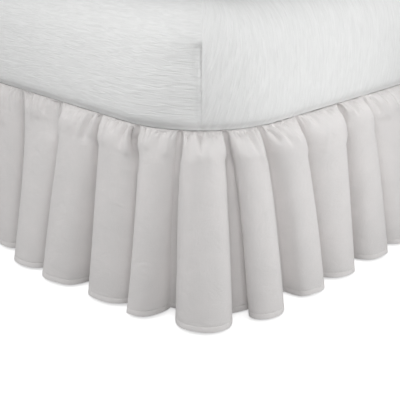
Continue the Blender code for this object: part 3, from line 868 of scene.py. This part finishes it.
# A corner seam: the end panel dips to it over a way, and the side panel's edge stands up beside it.
SEAM_DIP, SEAM_DIP_WAY = 0.0060, 0.034
SEAM_EDGE, SEAM_EDGE_WAY = 0.0030, 0.006
SEAM_GROOVE, SEAM_GROOVE_WAY = 0.0055, 0.0024
SEAM_STARTS = (0.0, 0.16)  # the shares of the height over which it starts and ends
SEAM_ENDS = (0.55, 0.69)
SEAM_NOTCH, SEAM_NOTCH_WAY = 0.0100, 0.009  # at the top of the seam
NOTCH_AT, NOTCH_ABOVE, NOTCH_BELOW = 0.645, 0.028, 0.16  # shares of the height


def lapped(ring, share):
    """The ring with its points moved in or out near the four corner seams."""
    points, on_end, on_side, is_end = ring
    before = np.roll(points, 1, axis=0)
    tangent = np.roll(points, -1, axis=0) - before
    outward = np.stack((tangent[:, 1], -tangent[:, 0]), axis=-1)
    outward /= np.linalg.norm(tangent, axis=1, keepdims=True)
    along = np.cumsum(np.linalg.norm(points - before, axis=1))
    held = np.interp(share, SEAM_STARTS + SEAM_ENDS, (0, 1, 1, 0))
    reach = NOTCH_ABOVE if share > NOTCH_AT else NOTCH_BELOW
    notch = SEAM_NOTCH * math.exp(-(((share - NOTCH_AT) / reach) ** 2))
    move = np.zeros(len(points))
    for k in range(len(points)):
        if is_end[k - 1] != is_end[k]:
            away = (along - along[k] + along[-1] / 2) % along[-1] - along[-1] / 2
            away = away if is_end[k - 1] else -away
            on_panel = away <= 1e-6
            dip = -SEAM_DIP * np.exp(np.minimum(away, 0) / SEAM_DIP_WAY)
            edge = SEAM_EDGE * np.exp(-np.maximum(away, 0) / SEAM_EDGE_WAY)
            groove = SEAM_GROOVE * np.exp(-((away / SEAM_GROOVE_WAY) ** 2))
            move += held * (np.where(on_panel, dip, edge) - groove)
            move -= notch * np.where(on_panel, np.exp(np.minimum(away, 0) / SEAM_NOTCH_WAY), 0)
    return points + move[:, None] * outward, on_end, on_side, is_end


def smoothed(profile, steps):
    """The points of a smooth curve through those of a profile."""
    ends = np.vstack((2 * profile[0] - profile[1], profile, 2 * profile[-1] - profile[-2]))
    curve = []
    for a, b, c, d in zip(ends, ends[1:], ends[2:], ends[3:]):
        for t in np.arange(steps) / steps:
            bend, twist = 2 * a - 5 * b + 4 * c - d, 3 * b - a - 3 * c + d
            curve.append(0.5 * (2 * b + (c - a) * t + bend * t**2 + twist * t**3))
    return np.array(curve + [profile[-1]])


mattress_cover, tree, shader = new_material("mattress ticking")
cloth = add_node(tree, "ShaderNodeUVMap", uv_map="cloth").outputs[0]
stretched = add_node(tree, "ShaderNodeMapping", {"Vector": cloth, "Scale": (26, 190, 1)}).outputs[0]
ribs, fine = noise(tree, stretched, 1.0, 2, 1.2), noise(tree, cloth, 420, 3)
height = calculated(tree, "MULTIPLY_ADD", fine, 0.15, ribs)
# The colour follows the ribs' height: darker in their hollows and lighter on their crests, which is painted
# shade together with the knit's fine tone.
share = ranged(tree, height, 0.0, 1.0, 0.35, 0.8)
feed(shader, {
    "Base Color": colours(tree, share, (0.86, 0.865, 0.86), (0.945, 0.95, 0.945)),
    "Roughness": ranged(tree, height, 0.8, 0.92),
    "Normal": bumped(tree, height, 0.6, 0.0024),
    "Sheen Weight": 0.1,
    "Specular IOR Level": 0.25,
})

mattress_low, mattress_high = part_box("mattress")
outs, shares = np.vstack((smoothed(np.array(MATTRESS_PROFILE), PROFILE_STEPS), MATTRESS_TOP)).T
shares = np.clip(shares, 0, 1)
heights = shares * (mattress_high.z - mattress_low.z)
rings = []
for out, share in zip(outs, shares):
    foot_radius = max(CORNER_RADIUS + out - MATTRESS_TIGHTENING * share, MATTRESS_LEAST_RADIUS)
    head_radius = max(MATTRESS_HEAD_RADIUS + out, MATTRESS_LEAST_RADIUS)
    rings.append(lapped(bed_ring(out, foot_radius, head_radius, near_seam=0.9), share))
downs = arc_lengths(outs, heights)
mattress = ringed_body("mattress_covered", rings, mattress_low.z + heights, downs, mattress_cover)
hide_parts("mattress")
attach(mattress, "root")


# ---- The floor: a plain pale sheet that runs on under the whole view. What it throws back on the
# skirt is a greyer light than the white that is seen.
FLOOR_REACH = 30.0
FLOOR_THROWN = (0.25, 0.25, 0.25)
FLOOR_GLOW = 0.55

floor_paint, tree, shader = new_material("pale floor")
place = add_node(tree, "ShaderNodeTexCoord").outputs["Object"]
white = colours(tree, noise(tree, place, 3, 4), (0.93, 0.93, 0.93), (0.96, 0.96, 0.96))
seen = add_node(tree, "ShaderNodeLightPath").outputs["Is Camera Ray"]
shown = {0: seen, 6: (*FLOOR_THROWN, 1), 7: white}
feed(shader, {
    "Base Color": add_node(tree, "ShaderNodeMix", shown, data_type="RGBA").outputs[2],
    "Emission Color": (1, 1, 1, 1),
    "Emission Strength": calculated(tree, "MULTIPLY", seen, FLOOR_GLOW),
    "Roughness": 0.9,
    "Specular IOR Level": 0.1,
})
corners = [(x * FLOOR_REACH, y * FLOOR_REACH, 0) for x, y in ((-1, -1), (1, -1), (1, 1), (-1, 1))]
floor = new_piece("floor", corners, [(0, 1, 2, 3)], floor_paint)


# ---- The light: even white from all round, a broad soft light in front of the corner and one at its
# left, and smaller ones from behind and close by, which brighten the folds' edges.
SKY = 0.375
SoftLight = namedtuple("SoftLight", "name azimuth elevation distance size watts")
LIGHTS = (  # their azimuths, elevations and distances are from the corner's hem
    SoftLight("front", 50, 38, 1.3, 0.9, 6.1),
    SoftLight("left", -38, 34, 1.7, 0.9, 5.8),
    SoftLight("near left", -30, 50, 0.8, 0.4, 0.26),
    SoftLight("behind left", -72, 20, 2.2, 0.9, 1.6),
    SoftLight("near right", 125, 25, 0.9, 0.4, 2.2),
    SoftLight("behind right", 155, 50, 1.0, 0.5, 0.4),
)


def towards(azimuth, elevation):
    """The direction out from the corner at an azimuth, 0 along -Y and 90 along +X, in degrees."""
    a, e = math.radians(azimuth), math.radians(elevation)
    return Vector((math.sin(a) * math.cos(e), -math.cos(a) * math.cos(e), math.sin(e)))


scene.view_settings.view_transform = "Standard"
sky = bpy.data.worlds.new("white studio")
sky.use_nodes = True
seen = add_node(sky.node_tree, "ShaderNodeLightPath").outputs["Is Camera Ray"]
feed(sky.node_tree.nodes["Background"], {0: (1, 1, 1, 1), 1: ranged(sky.node_tree, seen, SKY, 1.0)})
scene.world = sky
corner = Vector((DECK_HIGH.x, DECK_LOW.y, HEM_ABOVE_FLOOR))
for light in LIGHTS:
    lamp = bpy.data.lights.new(light.name, "AREA")
    lamp.shape, lamp.size, lamp.energy = "DISK", light.size, light.watts
    made = bpy.data.objects.new(light.name, lamp)
    away = towards(light.azimuth, light.elevation)
    turned = away.to_track_quat("Z", "Y").to_matrix().to_4x4()
    made.matrix_world = Matrix.Translation(corner + away * light.distance) @ turned
    scene.collection.objects.link(made)


# ---- The camera: at the foot's right corner, a little above the mattress, looking down at it.
AZIMUTH, ELEVATION = 45.35, 22.26
DISTANCE = 1.152
PICTURE, FOCAL = 400, 700.0  # the picture's width and the focal length, in pixels
AIM_AT = (201, 247.2)  # the pixel of the middle of the corner's drop
DROP_MIDDLE = 0.178  # over the hem
FILM = 36.0  # millimetres

back = towards(AZIMUTH, ELEVATION)
right = towards(AZIMUTH + 90, 0)
up = back.cross(right)
eye = corner + Vector((0, 0, DROP_MIDDLE)) + back * DISTANCE
eye -= right * ((AIM_AT[0] - PICTURE / 2) / FOCAL * DISTANCE)
eye += up * ((AIM_AT[1] - PICTURE / 2) / FOCAL * DISTANCE)
lens = bpy.data.cameras.new("photograph")
lens.sensor_width, lens.lens, lens.clip_start = FILM, FILM * FOCAL / PICTURE, 0.01
camera = bpy.data.objects.new("photograph", lens)
camera.matrix_world = Matrix.Translation(eye) @ Matrix((right, up, back)).transposed().to_4x4()
scene.collection.objects.link(camera)
scene.camera = camera
